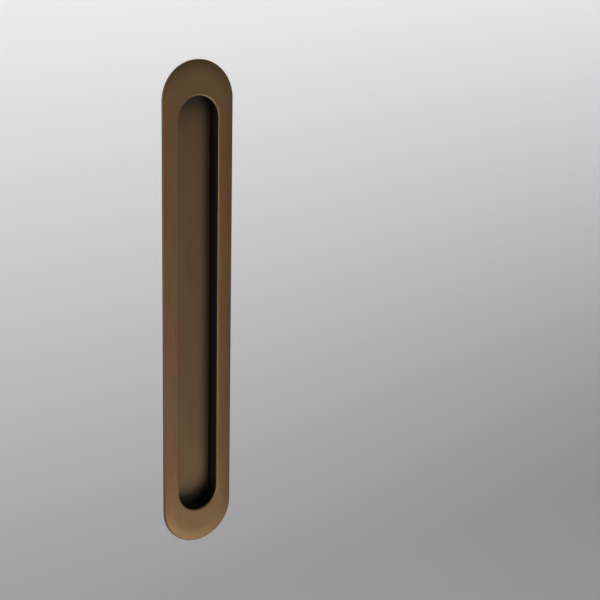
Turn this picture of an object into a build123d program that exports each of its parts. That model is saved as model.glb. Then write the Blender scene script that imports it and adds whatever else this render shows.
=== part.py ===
from build123d import *

import os
from math import cos, radians

# A long flush pull for a sliding door, in two pieces that are brazed together. A face plate with round
# ends lies on the door's face. A straight-sided pan behind it drops into a pocket in the door and makes
# room for the fingers. The pan runs on behind the plate, past both round ends of the plate's mouth, and
# its open edge is let into the plate's back, so that the back is flat up to the pan.
#
# The door's face is the plane Y = 0, with +Y into the door and +Z up along the pull. The origin is at
# the middle of the plate's back, where it seats on the door. Lengths are in millimetres.

# Face plate
pull_length = 300.0
pull_width = 47.0
plate_thickness = 2.5
crown_drop = 0.9  # how far the face falls towards its edge, before the edge is rounded
plate_edge_radius = 1.0
rebate_depth = 0.5  # how far the pan's open edge is let into the plate's back

# Mouth of the finger recess, set by the land that is left between it and the plate's edge
side_land = 10.2
end_land = 21.0
flat_land = 1.8  # the part of the side land that stays flat, beside the mouth
lip_radius = 1.1

# Pan
recess_depth = 10.5  # from the plate's front face to the pan's floor
end_undercut = 2.0  # how far the pan runs on past each end of the mouth
pan_wall = 1.5
pan_draft = 2.0  # degrees, so that the pan narrows towards its floor
upright_corner_radius = 3.0
floor_corner_radius = 0.4

front_face_y = -plate_thickness
mouth_length = pull_length - 2 * end_land
mouth_width = pull_width - 2 * side_land
crown_width = side_land - flat_land
pan_depth = recess_depth - plate_thickness + rebate_depth
outer_margin = pan_wall / cos(radians(pan_draft))


def flat_faces_from_front(body):
    """The body's flat faces that are parallel to the door, the front one first."""
    return body.faces().filter_by(Axis.Y).sort_by(Axis.Y)


def plate_half_section():
    """Half of the plate's section, from its middle to its edge, in the plane Z = 0."""
    edge_x = pull_width / 2
    crown_start = (edge_x - crown_width, front_face_y)
    crown_end = (edge_x, front_face_y + crown_drop)
    outline = [
        TangentArc(crown_start, crown_end, tangent=(1, 0)),
        Polyline(crown_end, (edge_x, 0), (0, 0), (0, front_face_y), crown_start),
    ]
    section = make_face(outline)
    front_corner = section.vertices().group_by(Axis.X)[-1].sort_by(Axis.Y)[0]
    return fillet(front_corner, plate_edge_radius)


def plate_blank():
    """The plate before its mouth is cut: its section runs along both sides and turns round both ends."""
    half_section = plate_half_section()
    end_centre_z = (pull_length - pull_width) / 2
    section = half_section + mirror(half_section, Plane.YZ)
    sides = extrude(section, end_centre_z, both=True)
    end_axis = Axis((0, 0, end_centre_z), (0, -1, 0))
    upper_end = revolve(Pos(0, 0, end_centre_z) * half_section, end_axis, 180)
    return sides + upper_end + mirror(upper_end, Plane.XY)


def face_plate():
    """The plate that shows on the door, with a round-ended mouth and a lip that is smooth to the fingers."""
    back_plane = Plane(origin=(0, 0, 0), x_dir=(0, 0, 1), z_dir=(0, -1, 0))
    mouth = extrude(back_plane * SlotOverall(mouth_length, mouth_width), plate_thickness)
    rebate = extrude(pan_outline(outer_margin), rebate_depth)
    plate = plate_blank() - mouth - rebate
    front_face = flat_faces_from_front(plate)[0]
    return fillet(front_face.inner_wires()[0].edges(), lip_radius)


def pan_outline(margin):
    """The inside of the pan's open edge, grown by a margin all round, where it meets the plate."""
    rebate_plane = Plane(origin=(0, -rebate_depth, 0), x_dir=(0, 0, 1), z_dir=(0, 1, 0))
    length = mouth_length + 2 * (end_undercut + margin)
    return rebate_plane * RectangleRounded(length, mouth_width + 2 * margin, upright_corner_radius + margin)


def pan_form(margin, depth, corner_radius):
    """The pan's inside, grown by a margin all round, to a depth behind its open edge."""
    form = extrude(pan_outline(margin), depth, taper=pan_draft)
    far_edge = flat_faces_from_front(form)[-1].outer_wire().edges()
    return fillet(far_edge, corner_radius)


def recess_pan():
    """The pan: its open edge is brazed into the plate's rebate, and its sides are level with the mouth's."""
    inside = pan_form(0, pan_depth, floor_corner_radius)
    outside = pan_form(outer_margin, pan_depth + pan_wall, floor_corner_radius + pan_wall)
    return outside - inside


os.makedirs("parts", exist_ok=True)
export_step(face_plate(), "parts/face_plate.step")
export_step(recess_pan(), "parts/recess_pan.step")
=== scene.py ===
"""Dresses the long bronze flush pull in its finishes, in a plain studio with a camera."""
import logging
import math
from dataclasses import dataclass, field
from enum import Enum

import bpy
import numpy as np
from mathutils import Matrix, Vector


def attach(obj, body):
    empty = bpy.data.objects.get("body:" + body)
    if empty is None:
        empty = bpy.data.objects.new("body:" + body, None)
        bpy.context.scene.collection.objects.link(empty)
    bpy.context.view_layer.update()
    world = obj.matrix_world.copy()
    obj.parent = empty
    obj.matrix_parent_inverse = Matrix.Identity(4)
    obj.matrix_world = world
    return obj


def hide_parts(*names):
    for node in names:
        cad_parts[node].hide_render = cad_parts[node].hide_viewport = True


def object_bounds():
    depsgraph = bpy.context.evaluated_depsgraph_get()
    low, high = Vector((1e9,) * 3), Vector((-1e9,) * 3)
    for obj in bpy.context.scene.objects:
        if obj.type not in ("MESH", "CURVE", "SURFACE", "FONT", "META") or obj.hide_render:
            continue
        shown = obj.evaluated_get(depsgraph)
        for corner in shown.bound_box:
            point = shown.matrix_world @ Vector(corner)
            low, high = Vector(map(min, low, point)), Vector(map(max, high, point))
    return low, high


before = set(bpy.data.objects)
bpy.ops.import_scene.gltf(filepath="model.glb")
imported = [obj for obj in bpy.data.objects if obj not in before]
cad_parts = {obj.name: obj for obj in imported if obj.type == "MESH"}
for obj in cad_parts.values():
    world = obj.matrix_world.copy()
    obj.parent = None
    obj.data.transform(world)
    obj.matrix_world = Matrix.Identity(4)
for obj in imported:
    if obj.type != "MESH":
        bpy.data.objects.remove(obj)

CAD_BOX = [list(corner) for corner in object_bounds()]
MM = 0.001
RIGHT_ANGLE = math.pi / 2
# The signed value on the skins: 1 is worn paler with a painted highlight, -1 is full painted shade.
RUBBED_AND_HIGHLIT = 1.0
FULL_PAINTED_SHADE = -1.0
FROM_0_TO_1 = (0.0, 1.0)
NOISE_RANGE = (0.3, 0.7)  # nearly all of a noise's values
WELD_DECIMALS = 9  # points that agree to this many decimals of a metre are one

Colour = tuple[float, float, float, float]
Pair = tuple[float, float]
Spine = tuple[float, float]
Socket = bpy.types.NodeSocket

log = logging.getLogger("flush_pull")


class Grain(Enum):
    """Which way a stretch of the section is brushed."""

    ALONG = "up the pull"
    ROUND = "round the mouth or the edge"


class Side(Enum):
    """Which finish a stretch of the section takes, numbered as the piece's materials are."""

    FRONT = 0
    BACK = 1


def colour(red: float, green: float, blue: float) -> Colour:
    """Turns a colour as it is seen on a screen into the linear one that a shader takes.

    Args:
        red: Red, from 0 to 255.
        green: Green, from 0 to 255.
        blue: Blue, from 0 to 255.

    Returns:
        The linear colour with an alpha of 1. Each channel c, from 0 to 1, becomes
        ((c + 0.055) / 1.055) ** 2.4, or c / 12.92 where it is nearly black.
    """
    seen = np.array([red, green, blue]) / 255.0
    linear = np.where(seen <= 0.04045, seen / 12.92, ((seen + 0.055) / 1.055) ** 2.4)
    return (*linear.tolist(), 1.0)


def direction(azimuth: float, elevation: float) -> Vector:
    """Gives the direction from the pull towards a place round it.

    Args:
        azimuth: The place's turn from straight in front towards the right, in degrees.
        elevation: Its angle above the horizon, in degrees.

    Returns:
        A vector one long.
    """
    turn, rise = math.radians(azimuth), math.radians(elevation)
    level = math.cos(rise)
    return Vector((math.sin(turn) * level, -math.cos(turn) * level, math.sin(rise)))


@dataclass
class Stretch:
    """One line or arc of a piece's half section, as the rings that it sweeps out round the piece.

    Each ring is a rectangle with rounded corners. Its spine holds the centres of those corners.

    Attributes:
        half_width: Half of each ring's width.
        depth: Each ring's depth behind the door's face.
        spine_x: How far the corners' centres stand to either side of the middle.
        spine_z: How far they stand above and below the middle.
        normal_across: The across part of the outward normal on each ring.
        normal_depth: The depth part of the outward normal on each ring.
        rub_and_painted_light: How far each ring is worn paler with a painted highlight, from 0 to
            1, or given painted shade, down to -1.
        grain: Which way the stretch is brushed.
        side: Which finish it takes.
    """

    half_width: np.ndarray
    depth: np.ndarray
    spine_x: np.ndarray
    spine_z: np.ndarray
    normal_across: np.ndarray
    normal_depth: np.ndarray
    rub_and_painted_light: np.ndarray
    grain: Grain
    side: Side

    def end(self, index: int) -> Pair:
        """Gives the half width and depth of the ring with an index, -1 for the last."""
        return (self.half_width[index], self.depth[index])


def line(start: Pair, end: Pair, spines: tuple[Spine, Spine], grain: Grain, side: Side, steps: int,
         rub_and_painted_light: float = 0.0) -> Stretch:
    """Makes a straight stretch of the section.

    The rings are start + t * (end - start) for t from 0 to 1, spine included. The normal is the
    line's direction turned a quarter clockwise, which is outward because the metal lies on the
    walk's left.

    Args:
        start: The first ring's half width and depth.
        end: The last ring's.
        spines: The spine at the start and at the end.
        grain: Which way it is brushed.
        side: Which finish it takes.
        steps: How many steps it has.
        rub_and_painted_light: How far all of it is worn paler with a painted highlight, or given
            painted shade.

    Returns:
        The stretch.
    """
    t = np.linspace(0.0, 1.0, steps + 1)
    half_width, depth = (first + t * (last - first) for first, last in zip(start, end))
    spine_x, spine_z = (first + t * (last - first) for first, last in zip(*spines))
    step = np.subtract(end, start)
    across, down = step / np.hypot(*step)
    return Stretch(half_width, depth, spine_x, spine_z, np.full_like(t, down),
                   np.full_like(t, -across), np.full_like(t, rub_and_painted_light), grain, side)


def arc(centre: Pair, radius: float, turn: Pair, spine: Spine, grain: Grain, side: Side, steps: int,
        rub_and_painted_light: float = 0.0, hollow: bool = False) -> Stretch:
    """Makes a round stretch of the section.

    The rings are centre + radius * (cos a, sin a) for the angle a from the first turn to the last.
    The normal is (cos a, sin a) on a round corner and its opposite in a hollow one.

    Args:
        centre: The arc's centre, as half width and depth.
        radius: Its radius.
        turn: Its first and last angle in radians, from across towards depth.
        spine: The rings' spine.
        grain: Which way it is brushed.
        side: Which finish it takes.
        steps: How many steps it has.
        rub_and_painted_light: How far the arc's middle is worn paler and painted bright. It fades
            as a half sine to both ends.
        hollow: Whether the metal lies outside the arc.

    Returns:
        The stretch.
    """
    t = np.linspace(0.0, 1.0, steps + 1)
    angle = turn[0] + t * (turn[1] - turn[0])
    outward = -1.0 if hollow else 1.0
    return Stretch(centre[0] + radius * np.cos(angle), centre[1] + radius * np.sin(angle),
                   np.full_like(t, spine[0]), np.full_like(t, spine[1]), outward * np.cos(angle),
                   outward * np.sin(angle), rub_and_painted_light * np.sin(math.pi * t), grain, side)


@dataclass(frozen=True)
class Tint:
    """A colour that the metal turns to as some value of its surface changes.

    Attributes:
        tone: The colour.
        values: The value at which the turn starts, and the one at which it is full.
        share: How far the metal turns to the colour there, from 0 to 1.
    """

    tone: Colour
    values: Pair = FROM_0_TO_1
    share: float = 1.0


@dataclass
class Graph:
    """A material's nodes, with short ways to add and join them.

    Attributes:
        name: The material's name.
    """

    name: str

    def __post_init__(self) -> None:
        """Makes the material with a plain shader."""
        self.material = bpy.data.materials.new(self.name)
        self.material.use_nodes = True
        self.nodes = self.material.node_tree.nodes
        self.shader = self.nodes["Principled BSDF"]

    def add(self, kind: str, **settings: object) -> bpy.types.Node:
        """Adds a node.

        Args:
            kind: The node's type.
            settings: Its properties by name.

        Returns:
            The node.
        """
        node = self.nodes.new(kind)
        for name, value in settings.items():
            setattr(node, name, value)
        return node

    def link(self, source: object, target: object) -> None:
        """Gives an input its source.

        Args:
            source: An output, which is linked, or a plain value, which is set.
            target: The input.
        """
        if isinstance(source, Socket):
            self.material.node_tree.links.new(source, target)
        else:
            target.default_value = source

    def noise(self, where: Socket, cell: tuple[float, float, float], detail: float = 2.0) -> Socket:
        """Makes smooth noise.

        Args:
            where: The coordinates that it follows, in metres.
            cell: How large its patches are along each coordinate, in millimetres.
            detail: How many finer octaves it has.

        Returns:
            A value round 0.5.
        """
        stretch = self.add("ShaderNodeMapping")
        stretch.inputs["Scale"].default_value = tuple(1.0 / (size * MM) for size in cell)
        self.link(where, stretch.inputs["Vector"])
        noise = self.add("ShaderNodeTexNoise")
        self.link(stretch.outputs["Vector"], noise.inputs["Vector"])
        self.link(1.0, noise.inputs["Scale"])
        self.link(detail, noise.inputs["Detail"])
        return noise.outputs["Fac"]

    def spread(self, value: Socket, given: Pair, wanted: Pair = FROM_0_TO_1) -> Socket:
        """Carries a value from one range to another, and holds it at the ends.

        Args:
            value: The value.
            given: The range that it comes from.
            wanted: The range that it goes to.

        Returns:
            The carried value.
        """
        node = self.add("ShaderNodeMapRange")
        names = ("Value", "From Min", "From Max", "To Min", "To Max")
        for source, name in zip((value, *given, *wanted), names):
            self.link(source, node.inputs[name])
        return node.outputs["Result"]

    def reach(self, distance: Socket, ends: Pair) -> Socket:
        """Carries a distance in metres between two ends in millimetres to a value from 0 to 1."""
        return self.spread(distance, tuple(MM * end for end in ends))

    def compute(self, operation: str, *values: object) -> Socket:
        """Works out one sum, such as a product or a power.

        Args:
            operation: The Math node's operation.
            values: What it works on, in order.

        Returns:
            The result.
        """
        node = self.add("ShaderNodeMath", operation=operation)
        for index, value in enumerate(values):
            self.link(value, node.inputs[index])
        return node.outputs[0]

    def mix(self, factor: object, first: object, second: object) -> Socket:
        """Mixes two colours.

        Args:
            factor: How much of the second colour there is, from 0 to 1.
            first: The first colour.
            second: The second colour.

        Returns:
            The mixed colour.
        """
        node = self.add("ShaderNodeMix", data_type="RGBA")
        for source, index in ((factor, 0), (first, 6), (second, 7)):
            self.link(source, node.inputs[index])
        return node.outputs[2]

    def turn(self, metal: object, value: Socket, tint: Tint) -> Socket:
        """Turns the metal's colour to a tint as a value changes."""
        return self.mix(self.spread(value, tint.values, (0.0, tint.share)), metal, tint.tone)


@dataclass(frozen=True)
class BrushedBronze:
    """The dark bronze that shows: brushed, patinated and under a matt clear lacquer.

    Attributes:
        name: The material's name.
        shade: The darker colour in the brush marks.
        tone: The metal's main colour, between the marks.
        deep: The greyer colour inside the recess, whose darkness is painted shade.
        olive: The greener colour that the patina drifts to.
        warm: The redder, darker colour that it drifts to.
        golden: The yellower colour that it has at both ends of the pull.
        rubbed_and_highlit: The paler colour on the lip and the outer edge: wear from hands, and a
            painted highlight.
        painted_shade: The dark colour painted on the recess's walls, and faintly on its floor, as
            shade.
        painted_end_shade: The same dark colour at the ends of the recess's floor: painted shade.
        roughness: The metal's least and greatest roughness.
        anisotropy: How much rougher the metal is across the brush marks than along them.
        lacquer_roughness: How matt the lacquer is.
        lacquer_ior: The lacquer's index of refraction.
        mark_size: The brush marks' width and length, in millimetres.
        mark_detail: How many finer octaves they have.
        mark_bump: How strongly they tip the surface, from 0 to 1.
        mark_depth: How deep they are, in millimetres.
        patch_size: The patina's patches, across, in depth and up the pull, in millimetres.
        warm_size: How large the warm patches are, as a share of the others.
        golden_ends: How far above or below the middle the golden colour starts and is full, in
            millimetres.
        painted_shade_ends: How far above or below it the painted shade in the recess starts and is
            darkest, likewise.
        recess_depth: How far behind the door's face the inside starts and is full, likewise.
    """

    name: str = "brushed_bronze"
    shade: Colour = colour(104, 71, 38)
    tone: Tint = Tint(colour(126, 88, 48), NOISE_RANGE)
    # the recess's inside: greyer, and darker as painted shade
    deep: Tint = Tint(colour(107, 83, 53), share=0.8)
    olive: Tint = Tint(colour(118, 91, 49), (0.35, 0.65), 0.6)
    warm: Tint = Tint(colour(114, 75, 43), (0.5, 0.7), 0.7)
    golden: Tint = Tint(colour(118, 91, 52), share=0.8)
    # the lip and outer edge: worn paler, partly a painted highlight
    rubbed_and_highlit: Tint = Tint(colour(152, 116, 75))
    # painted shade on the recess's walls and, faintly, its floor
    painted_shade: Tint = Tint(colour(44, 32, 21), (0.0, FULL_PAINTED_SHADE))
    # painted shade at the ends of the recess's floor
    painted_end_shade: Tint = Tint(colour(44, 32, 21), share=0.95)
    roughness: Pair = (0.46, 0.52)
    anisotropy: float = 0.55
    lacquer_roughness: float = 0.6
    lacquer_ior: float = 1.42
    mark_size: Pair = (0.45, 30.0)
    mark_detail: float = 3.0
    mark_bump: float = 0.04
    mark_depth: float = 0.02
    patch_size: tuple[float, float, float] = (9.0, 9.0, 45.0)
    warm_size: float = 0.6
    golden_ends: Pair = (100.0, 140.0)
    # where the painted shade at the floor's ends starts and is darkest
    painted_shade_ends: Pair = (100.0, 124.0)
    recess_depth: Pair = (3.0, 6.0)

    def zones(self, graph: Graph, place: Socket) -> tuple[Socket, Socket, Socket]:
        """Finds the pull's ends, the recess's inside and the floor's ends, where shade is painted.

        With e and t the places of |z| in their two ranges and s that of y, each held to 0 and 1,
        they are e, s and s * t ** 2.

        Args:
            graph: The material's nodes.
            place: The object's own coordinates, in metres.

        Returns:
            How far a place is towards the pull's ends, inside the recess, and in the floor's ends
            with painted shade.
        """
        split = graph.add("ShaderNodeSeparateXYZ")
        graph.link(place, split.inputs[0])
        height = graph.compute("ABSOLUTE", split.outputs["Z"])
        ends = graph.reach(height, self.golden_ends)
        inside = graph.reach(split.outputs["Y"], self.recess_depth)
        squared = graph.compute("POWER", graph.reach(height, self.painted_shade_ends), 2.0)
        return ends, inside, graph.compute("MULTIPLY", squared, inside)

    def material(self) -> bpy.types.Material:
        """Makes the material.

        Each tint in turn is laid over the ones before it, so the painted shade on the walls and at
        the floor's ends comes last.

        Returns:
            The material.
        """
        graph = Graph(self.name)
        brushing = graph.add("ShaderNodeUVMap", uv_map=SweptPiece.UV_NAME).outputs["UV"]
        place = graph.add("ShaderNodeTexCoord").outputs["Object"]
        marks = graph.noise(brushing, (*self.mark_size, 1.0), self.mark_detail)
        drift = graph.noise(place, self.patch_size)
        warmth = graph.noise(place, tuple(self.warm_size * size for size in self.patch_size))
        rub_and_painted_light = graph.add("ShaderNodeAttribute", attribute_name=SweptPiece.RUB_AND_PAINTED_LIGHT_NAME).outputs["Fac"]
        ends, inside, dark = self.zones(graph, place)

        metal = self.shade
        for value, tint in (
            (marks, self.tone),
            # greyer inside the recess, darker as painted shade
            (inside, self.deep),
            (drift, self.olive),
            (warmth, self.warm),
            (ends, self.golden),
            # lip and outer edge worn paler, partly a painted highlight
            (rub_and_painted_light, self.rubbed_and_highlit),
            # painted shade on the recess's walls and floor
            (rub_and_painted_light, self.painted_shade),
            # painted shade at the ends of the recess's floor
            (dark, self.painted_end_shade),
        ):
            metal = graph.turn(metal, value, tint)

        tangent = graph.add("ShaderNodeTangent", direction_type="UV_MAP", uv_map=SweptPiece.UV_NAME)
        bump = graph.add("ShaderNodeBump")
        for source, name in (
            (self.mark_bump, "Strength"),
            (self.mark_depth * MM, "Distance"),
            (marks, "Height"),
        ):
            graph.link(source, bump.inputs[name])
        for source, name in (
            (metal, "Base Color"),
            (1.0, "Metallic"),
            (graph.spread(drift, NOISE_RANGE, self.roughness), "Roughness"),
            (self.anisotropy, "Anisotropic"),
            (tangent.outputs["Tangent"], "Tangent"),
            (bump.outputs["Normal"], "Normal"),
            (1.0, "Coat Weight"),
            (self.lacquer_roughness, "Coat Roughness"),
            (self.lacquer_ior, "Coat IOR"),
        ):
            graph.link(source, graph.shader.inputs[name])
        return graph.material


@dataclass(frozen=True)
class PlainBronze:
    """The same bronze as it is left on the hidden side: not brushed, duller and a little darker.

    Attributes:
        name: The material's name.
        shade: The darker colour in its cloudy patches.
        tone: The metal's colour, between the patches.
        roughness: How dull it is.
        cloud_size: How large its patches are, in millimetres.
        cloud_detail: How many finer octaves they have.
    """

    name: str = "plain_bronze"
    shade: Colour = colour(92, 70, 43)
    tone: Tint = Tint(colour(108, 84, 52), NOISE_RANGE)
    roughness: float = 0.5
    cloud_size: float = 14.0
    cloud_detail: float = 4.0

    def material(self) -> bpy.types.Material:
        """Makes the material: one colour with cloudy patches of a darker one.

        Returns:
            The material.
        """
        graph = Graph(self.name)
        place = graph.add("ShaderNodeTexCoord").outputs["Object"]
        clouds = graph.noise(place, (self.cloud_size,) * 3, self.cloud_detail)
        for source, name in (
            (graph.turn(self.shade, clouds, self.tone), "Base Color"),
            (1.0, "Metallic"),
            (self.roughness, "Roughness"),
        ):
            graph.link(source, graph.shader.inputs[name])
        return graph.material


@dataclass(frozen=True)
class Opening:
    """Where the two pieces meet: the plate's round-ended mouth and the pan's straight open edge.

    Sizes are in millimetres, as on the drawing of the part, and the draft is in degrees.

    Attributes:
        width: The mouth's width.
        length: The mouth's length.
        end_undercut: How far the pan runs on past each end of the mouth.
        pan_corner: The radius of the pan's upright corners, inside.
        pan_wall: The pan's wall.
        pan_draft: How far the pan's walls lean in towards its floor.
        rebate_depth: How far the pan's open edge is let into the plate's back.
    """

    width: float = 26.6
    length: float = 258.0
    end_undercut: float = 2.0
    pan_corner: float = 3.0
    pan_wall: float = 1.5
    pan_draft: float = 2.0
    rebate_depth: float = 0.5

    @property
    def mouth_spine(self) -> Spine:
        """The centres of the mouth's round ends."""
        return (0.0, (self.length - self.width) / 2)

    @property
    def pan_spine(self) -> Spine:
        """The centres of the pan's upright corners."""
        end = self.length / 2 + self.end_undercut
        return (self.width / 2 - self.pan_corner, end - self.pan_corner)

    @property
    def outer_half_width(self) -> float:
        """Half of the pan's outside width at its open edge."""
        return self.width / 2 + self.pan_wall / math.cos(math.radians(self.pan_draft))


def walked(places: np.ndarray, axis: int) -> np.ndarray:
    """Adds up the distance walked along an axis of places, from the first place to each."""
    steps = np.diff(places, axis=axis, prepend=places.take([0], axis=axis))
    return np.cumsum(np.linalg.norm(steps, axis=-1), axis=axis)


@dataclass
class SweptPiece:
    """A piece whose half section is carried round a rectangle with rounded corners.

    Attributes:
        opening: Where the two pieces meet.
        corner_steps: How many steps turn each corner.
        long_steps: How many steps run up each long side.
        short_steps: How many steps run across each short side.
        finishes: The finish of each side, in the order of their numbers.
    """

    UV_NAME = "Brushing"
    RUB_AND_PAINTED_LIGHT_NAME = "Rub_and_painted_light"
    NODE = ""

    opening: Opening = field(default_factory=Opening)
    corner_steps: int = 40
    long_steps: int = 48
    short_steps: int = 6
    finishes: dict[Side, bpy.types.Material] = field(default_factory=dict)

    def section(self) -> list[Stretch]:
        """Draws the half section as a closed walk with the metal on its left, in millimetres."""
        raise NotImplementedError

    def path(self) -> tuple[np.ndarray, np.ndarray, np.ndarray]:
        """Lays out the walk round a ring, from the right side's top back to the same place.

        The walk has eight legs: a corner, the top, a corner, the left side, and so on. A corner's
        leg only turns, and a side's leg only crosses from one corner's centre to the next.

        Returns:
            At each step, the turn round a corner's centre, and that centre as shares of the spine.
        """
        legs = (self.corner_steps, self.short_steps, self.corner_steps, self.long_steps) * 2
        places = [leg + np.arange(steps) / steps for leg, steps in enumerate(legs)]
        along = np.concatenate([*places, [len(legs)]])
        stops = np.arange(len(legs) + 1)
        turn = np.interp(along, stops, RIGHT_ANGLE * np.array([0, 1, 1, 2, 2, 3, 3, 4, 4]))
        share_x = np.interp(along, stops, [1, 1, -1, -1, -1, -1, 1, 1, 1])
        share_z = np.interp(along, stops, [1, 1, 1, 1, -1, -1, -1, -1, 1])
        return turn, share_x, share_z

    def build(self) -> bpy.types.Object:
        """Carries the section round the path and joins the points into one closed skin.

        With a corner radius of r = half width - spine x, the point of a ring at turn a and shares p
        and q is (p * spine x + r cos a, depth, q * spine z + r sin a), and its normal is
        (n cos a, m, n sin a). The brushing map is (x, z) where the brush marks run up the pull.
        Elsewhere it is the distance walked along the section, and that walked round the ring.

        Returns:
            The skin as an object at the origin.
        """
        stretches = self.section()
        names = ("half_width", "depth", "spine_x", "spine_z", "normal_across", "normal_depth",
                 "rub_and_painted_light")
        half_width, depth, spine_x, spine_z, across, down, rub_and_painted_light = (
            np.concatenate([getattr(stretch, name) for stretch in stretches])[:, None]
            for name in names
        )
        sizes = [stretch.depth.size for stretch in stretches]
        turn, share_x, share_z = self.path()
        cos, sin = np.cos(turn), np.sin(turn)
        radius = half_width - spine_x
        all_round = np.ones_like(turn)
        across_pull, up_pull = share_x * spine_x + radius * cos, share_z * spine_z + radius * sin
        points = np.stack([across_pull, depth * all_round, up_pull], axis=-1)
        normals = np.stack([across * cos, down * all_round, across * sin], axis=-1)

        along_section = walked(np.stack([half_width, depth], axis=-1), axis=0) * all_round
        round_ring = walked(points, axis=1)
        upright = np.repeat([stretch.grain is Grain.ALONG for stretch in stretches], sizes)
        brushing = np.where(upright[:, None, None], np.stack([across_pull, up_pull], axis=-1),
                            np.stack([along_section, round_ring], axis=-1))

        rings, steps = points.shape[:2]
        band = np.setdiff1d(np.arange(rings - 1), np.cumsum(sizes) - 1)
        side = np.repeat([stretch.side.value for stretch in stretches], sizes)[band]
        corner = band[:, None] * steps + np.arange(steps - 1)
        corners = np.stack([corner, corner + steps, corner + steps + 1, corner + 1], axis=-1)
        return self.join(points.reshape(-1, 3) * MM, normals.reshape(-1, 3),
                         brushing.reshape(-1, 2) * MM, np.repeat(rub_and_painted_light, steps),
                         corners.reshape(-1, 4), np.repeat(side, steps - 1))

    def join(self, points: np.ndarray, normals: np.ndarray, brushing: np.ndarray, rub_and_painted_light: np.ndarray,
             corners: np.ndarray, side: np.ndarray) -> bpy.types.Object:
        """Welds points that share a place, and makes the mesh with all that it carries.

        Args:
            points: Every ring's points in turn, in metres.
            normals: The outward normal at each point.
            brushing: The brushing map at each point, whose second coordinate follows the marks.
            rub_and_painted_light: How far each point is worn paler with a painted highlight, or
                given painted shade.
            corners: Four point numbers for each face.
            side: Each face's material number.

        Returns:
            The skin's object.
        """
        placed = points.round(WELD_DECIMALS) + 0.0
        _, first, place = np.unique(placed, axis=0, return_index=True, return_inverse=True)
        welded = place.reshape(-1)[corners]
        keep = welded != np.roll(welded, -1, axis=1)
        counts = keep.sum(axis=1)
        full = counts > 2
        loops = corners[full][keep[full]]
        counts = counts[full]

        mesh = bpy.data.meshes.new(self.NODE + "_skin")
        mesh.vertices.add(first.size)
        mesh.vertices.foreach_set("co", points[first].ravel())
        mesh.loops.add(loops.size)
        mesh.loops.foreach_set("vertex_index", place.reshape(-1)[loops])
        mesh.polygons.add(counts.size)
        mesh.polygons.foreach_set("loop_start", np.concatenate([[0], np.cumsum(counts)[:-1]]))
        mesh.polygons.foreach_set("loop_total", counts)
        mesh.polygons.foreach_set("material_index", side[full].astype(np.int32))
        mesh.polygons.foreach_set("use_smooth", np.ones(counts.size, dtype=bool))
        mesh.update(calc_edges=True)
        mesh.validate()

        mesh.uv_layers.new(name=self.UV_NAME).data.foreach_set("uv", brushing[loops].ravel())
        mesh.attributes.new(self.RUB_AND_PAINTED_LIGHT_NAME, "FLOAT", "CORNER").data.foreach_set("value", rub_and_painted_light[loops])
        mesh.normals_split_custom_set(normals[loops])
        skin = bpy.data.objects.new(self.NODE + "_skin", mesh)
        bpy.context.scene.collection.objects.link(skin)
        return skin

    def dress(self) -> bpy.types.Object:
        """Builds the skin, gives it its finishes and puts it in the CAD node's place.

        Returns:
            The finished piece.
        """
        skin = self.build()
        for side in Side:
            skin.data.materials.append(self.finishes[side])
        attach(skin, "root")
        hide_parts(self.NODE)
        return skin


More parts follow.
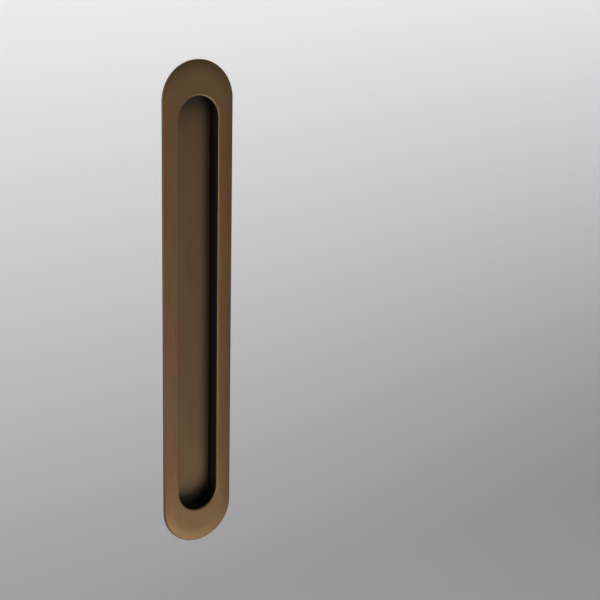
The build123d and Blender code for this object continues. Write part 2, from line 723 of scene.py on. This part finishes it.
@dataclass
class FacePlate(SweptPiece):
    """The plate that lies on the door, with a crowned face, a smooth lip and a rebate in its back.

    Attributes:
        length: Its length, in millimetres as all its sizes are.
        width: Its width.
        thickness: Its thickness beside the mouth.
        crown_drop: How far the face falls towards its edge.
        flat_land: How far the face stays flat beside the mouth.
        edge_radius: The rounding of its outer edge.
        lip_radius: The rounding of the mouth.
        edge_rub_and_highlight: How far the outer edge is worn paler with a painted highlight, from
            0 to 1.
    """

    NODE = "face_plate"

    length: float = 300.0
    width: float = 47.0
    thickness: float = 2.5
    crown_drop: float = 0.9
    flat_land: float = 1.8
    edge_radius: float = 1.0
    lip_radius: float = 1.1
    # the outer edge's paler wear and painted highlight
    edge_rub_and_highlight: float = 0.2

    def section(self) -> list[Stretch]:
        """Draws the plate from the mouth's wall out over the face, round the edge and back.

        The crown is an arc that leaves the flat without a step: its radius follows from its width
        w and drop d as (w * w + d * d) / (2 * d). The edge's rounding, of radius r, touches the
        crown's arc from inside, so the two centres are the crown's radius less r apart.

        Returns:
            The stretches in order.
        """
        mouth, pan = self.opening.mouth_spine, self.opening.pan_spine
        inner, outer, edge = self.opening.width / 2, self.opening.outer_half_width, self.width / 2
        plate = (0.0, self.length / 2 - edge)
        front, step = -self.thickness, -self.opening.rebate_depth
        crown_x = inner + self.flat_land
        width = edge - crown_x
        crown = (width ** 2 + self.crown_drop ** 2) / (2 * self.crown_drop)
        round_x, apart = edge - self.edge_radius, crown - self.edge_radius
        round_y = front + crown - math.sqrt(apart ** 2 - (round_x - crown_x) ** 2)
        meeting = math.atan2(round_y - front - crown, round_x - crown_x)

        # the lip: worn paler, with a painted highlight
        lip = arc((inner + self.lip_radius, front + self.lip_radius), self.lip_radius,
                  (2 * RIGHT_ANGLE, 3 * RIGHT_ANGLE), mouth, Grain.ROUND, Side.FRONT,
                  steps=16, rub_and_painted_light=RUBBED_AND_HIGHLIT)
        face = arc((crown_x, front + crown), crown, (-RIGHT_ANGLE, meeting), plate,
                   Grain.ALONG, Side.FRONT, steps=20)
        # the outer edge: a little worn paler, with a painted highlight
        rounded = arc((round_x, round_y), self.edge_radius, (meeting, 0.0), plate,
                      Grain.ROUND, Side.FRONT, steps=14, rub_and_painted_light=self.edge_rub_and_highlight)
        return [
            # the mouth's wall: painted shade
            line((inner, step), lip.end(0), (mouth, mouth), Grain.ROUND, Side.FRONT,
                 steps=3, rub_and_painted_light=FULL_PAINTED_SHADE),
            lip,
            line(lip.end(-1), (crown_x, front), (mouth, plate), Grain.ALONG, Side.FRONT, steps=4),
            face,
            rounded,
            line(rounded.end(-1), (edge, 0.0), (plate, plate), Grain.ROUND, Side.FRONT, steps=2),
            line((edge, 0.0), (outer, 0.0), (plate, pan), Grain.ALONG, Side.BACK, steps=6),
            line((outer, 0.0), (outer, step), (pan, pan), Grain.ROUND, Side.BACK, steps=1),
            line((outer, step), (inner, step), (pan, mouth), Grain.ALONG, Side.BACK, steps=4),
        ]


@dataclass
class RecessPan(SweptPiece):
    """The straight-sided pan behind the mouth.

    Attributes:
        floor_y: How far its floor lies behind the door's face, in millimetres as all its sizes are.
        floor_corner: The rounding where the floor meets the walls, inside.
        floor_painted_shade: How far the floor takes painted shade, from 0 down to -1.
    """

    NODE = "recess_pan"

    floor_y: float = 8.0
    floor_corner: float = 0.4
    # the floor's faint painted shade
    floor_painted_shade: float = -0.08

    def corner_x(self, start_x: float, radius: float, bottom: float) -> float:
        """Finds the centre of a rounding that touches a drafted wall and a flat bottom.

        Args:
            start_x: The wall's half width at the pan's open edge.
            radius: The rounding's radius.
            bottom: The flat's depth.

        Returns:
            The half width at the centre: start - (radius + height * sin draft) / cos draft, where
            the height runs from the open edge to the centre's depth.
        """
        draft = math.radians(self.opening.pan_draft)
        height = bottom - radius + self.opening.rebate_depth
        return start_x - (radius + height * math.sin(draft)) / math.cos(draft)

    def section(self) -> list[Stretch]:
        """Draws the pan from its floor's middle up the inside, over the rim and round the back.

        Returns:
            The stretches in order.
        """
        draft, wall = math.radians(self.opening.pan_draft), self.opening.pan_wall
        inner, outer = self.opening.width / 2, self.opening.outer_half_width
        rim, back = -self.opening.rebate_depth, self.floor_y + wall
        pan = self.opening.pan_spine
        middle = (0.0, pan[1] - pan[0])
        hollow_x = self.corner_x(inner, self.floor_corner, self.floor_y)
        round_r = self.floor_corner + wall
        round_x = self.corner_x(outer, round_r, back)

        hollow = arc((hollow_x, self.floor_y - self.floor_corner), self.floor_corner,
                     (RIGHT_ANGLE, draft), pan, Grain.ROUND, Side.FRONT, steps=8, hollow=True)
        rounded = arc((round_x, back - round_r), round_r, (draft, RIGHT_ANGLE), pan,
                      Grain.ROUND, Side.BACK, steps=14)
        return [
            # the floor: faint painted shade
            line((0.0, self.floor_y), hollow.end(0), (middle, pan), Grain.ALONG, Side.FRONT,
                 steps=6, rub_and_painted_light=self.floor_painted_shade),
            hollow,
            # the pan's walls: painted shade
            line(hollow.end(-1), (inner, rim), (pan, pan), Grain.ROUND, Side.FRONT,
                 steps=6, rub_and_painted_light=FULL_PAINTED_SHADE),
            line((inner, rim), (outer, rim), (pan, pan), Grain.ROUND, Side.BACK, steps=2),
            line((outer, rim), rounded.end(0), (pan, pan), Grain.ROUND, Side.BACK, steps=6),
            rounded,
            line(rounded.end(-1), (0.0, back), (pan, middle), Grain.ALONG, Side.BACK, steps=6),
        ]


@dataclass
class Softbox:
    """A soft studio lamp: a flat panel that faces the pull.

    Attributes:
        name: What the lamp is called.
        azimuth: Where it stands round the pull, 0 in front and 90 to the right, in degrees.
        elevation: Its height as an angle above the horizon, in degrees.
        distance: How far from the pull, in metres.
        width: The panel's width, in metres.
        height: The panel's height, in metres.
        brightness: How bright the panel itself looks, where 1 is white.
    """

    name: str
    azimuth: float
    elevation: float
    distance: float
    width: float
    height: float
    brightness: float

    def place(self) -> bpy.types.Object:
        """Makes the lamp, turned to the pull and unseen by the camera.

        Its power is brightness * pi * width * height, in watts.

        Returns:
            The lamp.
        """
        data = bpy.data.lights.new(self.name, "AREA")
        data.shape = "RECTANGLE"
        data.size, data.size_y = self.width, self.height
        data.energy = self.brightness * math.pi * self.width * self.height
        lamp = bpy.data.objects.new(self.name, data)
        away = direction(self.azimuth, self.elevation)
        lamp.location = away * self.distance
        lamp.rotation_mode = "QUATERNION"
        lamp.rotation_quaternion = away.to_track_quat("Z", "Y")
        lamp.visible_camera = False
        bpy.context.scene.collection.objects.link(lamp)
        return lamp


@dataclass
class Camera:
    """The camera at the photograph's viewpoint.

    Attributes:
        azimuth: Where it stands round the pull's front, in degrees.
        elevation: Its height as an angle above the horizon, in degrees.
        distance: Its distance from the middle of the pull's front face, in metres.
        yaw: How far it is turned about the vertical, in degrees.
        pitch: How far it looks down, in degrees.
        roll: How far it is tipped about its own line of sight, in degrees.
        lens: Its focal length, in millimetres.
        sensor: Its sensor's width, in millimetres.
    """

    azimuth: float = -30.247
    elevation: float = 15.583
    distance: float = 0.81683
    yaw: float = -34.676
    pitch: float = 15.061
    roll: float = 1.290
    lens: float = 81.165
    sensor: float = 36.0

    def place(self) -> bpy.types.Object:
        """Makes the camera and hands it to the scene.

        Returns:
            The camera.
        """
        data = bpy.data.cameras.new("camera")
        data.lens, data.sensor_width = self.lens, self.sensor
        camera = bpy.data.objects.new("camera", data)
        front = Vector((0.0, CAD_BOX[0][1], 0.0))
        turned = (
            Matrix.Rotation(math.radians(self.yaw), 4, "Z")
            @ Matrix.Rotation(math.radians(90.0 - self.pitch), 4, "X")
            @ Matrix.Rotation(math.radians(self.roll), 4, "Z")
        )
        standing = front + direction(self.azimuth, self.elevation) * self.distance
        camera.matrix_world = Matrix.Translation(standing) @ turned
        bpy.context.scene.collection.objects.link(camera)
        bpy.context.scene.camera = camera
        return camera


@dataclass
class Studio:
    """The plain pale sweep behind the pull, the room's even light and the soft lamps.

    Attributes:
        room_light: How bright the room is all round, where 1 is white.
        paper: The sweep's own colour under the lamps.
        paper_roughness: How matt the sweep is.
        glow_low: The colour that the paper adds towards the floor, where it is seen.
        glow_high: The colour that it adds towards the top.
        glow_heights: Where the added colour starts and stops changing, in metres.
        floor_z: The floor's height, in metres.
        wall_y: How far behind the pull the wall stands.
        bend_radius: The bend between floor and wall.
        bend_steps: How many steps turn the bend.
        half_width: Half of the sweep's width.
        floor_front: How far the floor reaches in front.
        wall_top: The wall's top.
    """

    room_light: float = 0.18
    paper: Colour = colour(215, 215, 215)
    paper_roughness: float = 0.9
    glow_low: Colour = colour(88, 88, 88)
    glow_high: Colour = colour(213, 213, 213)
    glow_heights: Pair = (-0.85, 0.15)
    floor_z: float = -0.9
    wall_y: float = 1.6
    bend_radius: float = 0.8
    bend_steps: int = 24
    half_width: float = 6.0
    floor_front: float = -6.0
    wall_top: float = 5.0

    def lamps(self) -> list[Softbox]:
        """Lists the soft lamps.

        The low one brightens the pull's lower end, the front one its middle, and the left and right
        ones the crown's two sides. The upper one takes the black off the top, and the one behind
        lights the back.

        Returns:
            The lamps.
        """
        return [
            # name, azimuth, elevation, distance, width, height, brightness
            Softbox("low_softbox", 16.0, -46.0, 0.95, 0.5, 0.42, 3.7),
            Softbox("front_softbox", 18.0, -6.5, 1.2, 0.7, 0.62, 1.13),
            Softbox("left_softbox", -80.0, -3.0, 1.0, 0.3, 0.8, 3.9),
            Softbox("right_softbox", 84.0, 0.0, 1.2, 0.3, 0.8, 0.6),
            Softbox("upper_softbox", 75.0, 68.0, 1.2, 0.5, 0.5, 0.4),
            Softbox("back_softbox", 160.0, 25.0, 2.0, 1.6, 1.6, 2.4),
        ]

    def backdrop(self) -> bpy.types.Material:
        """Makes the paper: lit as any paper is, with a painted glow added where it is seen, darker
        towards the floor.

        The glow shows to the camera, in mirrors and through glass alike, so the pull's metal
        reflects it as painted light.

        Returns:
            The paper's material.
        """
        graph = Graph("backdrop_paper")
        seen = graph.add("ShaderNodeLightPath").outputs
        straight = graph.compute("MAXIMUM", seen["Is Camera Ray"], seen["Is Glossy Ray"])
        either = graph.compute("MAXIMUM", straight, seen["Is Transmission Ray"])
        place = graph.add("ShaderNodeSeparateXYZ")
        graph.link(graph.add("ShaderNodeTexCoord").outputs["Object"], place.inputs[0])
        # the painted glow darkens towards the floor
        rise = graph.spread(place.outputs["Z"], self.glow_heights)
        for source, name in (
            (self.paper, "Base Color"),
            (self.paper_roughness, "Roughness"),
            (graph.mix(rise, self.glow_low, self.glow_high), "Emission Color"),
            (either, "Emission Strength"),
        ):
            graph.link(source, graph.shader.inputs[name])
        return graph.material

    def sweep(self) -> bpy.types.Object:
        """Makes the floor and backdrop as one sheet: flat, then a quarter circle, then upright.

        The profile's points run along the floor, round the bend at (wall_y - r + r sin a,
        floor_z + r - r cos a) and up the wall, and each is repeated at both ends of the width.

        Returns:
            The sheet.
        """
        bend = np.linspace(0.0, RIGHT_ANGLE, self.bend_steps + 1)
        radius = self.bend_radius
        out = self.wall_y - radius + radius * np.sin(bend)
        rise = self.floor_z + radius - radius * np.cos(bend)
        along = np.concatenate([[self.floor_front], out, [self.wall_y]])
        up = np.concatenate([[self.floor_z], rise, [self.wall_top]])
        side = np.array([-self.half_width, self.half_width])
        points = np.empty((along.size, side.size, 3))
        points[..., 0], points[..., 1], points[..., 2] = side, along[:, None], up[:, None]
        row = np.arange(along.size - 1)
        faces = np.stack([2 * row, 2 * row + 1, 2 * row + 3, 2 * row + 2], axis=1)
        mesh = bpy.data.meshes.new("studio_sweep")
        mesh.from_pydata(points.reshape(-1, 3).tolist(), [], faces.tolist())
        mesh.shade_smooth()
        mesh.materials.append(self.backdrop())
        sheet = bpy.data.objects.new("studio_sweep", mesh)
        bpy.context.scene.collection.objects.link(sheet)
        return sheet

    def place(self) -> None:
        """Makes the sweep, the world and the lamps."""
        self.sweep()
        world = bpy.data.worlds.new("studio")
        bpy.context.scene.world = world
        world.use_nodes = True
        background = world.node_tree.nodes["Background"]
        background.inputs["Color"].default_value = (1.0, 1.0, 1.0, 1.0)
        background.inputs["Strength"].default_value = self.room_light
        for lamp in self.lamps():
            lamp.place()


def main() -> None:
    """Builds the pull's two pieces, the studio and the camera in order."""
    logging.basicConfig(level=logging.INFO, format="%(message)s")
    bpy.context.scene.view_settings.view_transform = "Standard"
    opening = Opening()
    finishes = {Side.FRONT: BrushedBronze().material(), Side.BACK: PlainBronze().material()}
    for piece in (FacePlate(opening, finishes=finishes), RecessPan(opening, finishes=finishes)):
        skin = piece.dress()
        log.info("%s: %d faces", skin.name, len(skin.data.polygons))
    Studio().place()
    log.info("studio: sweep and lamps")
    Camera().place()
    log.info("camera in place")


if __name__ == "__main__":
    main()
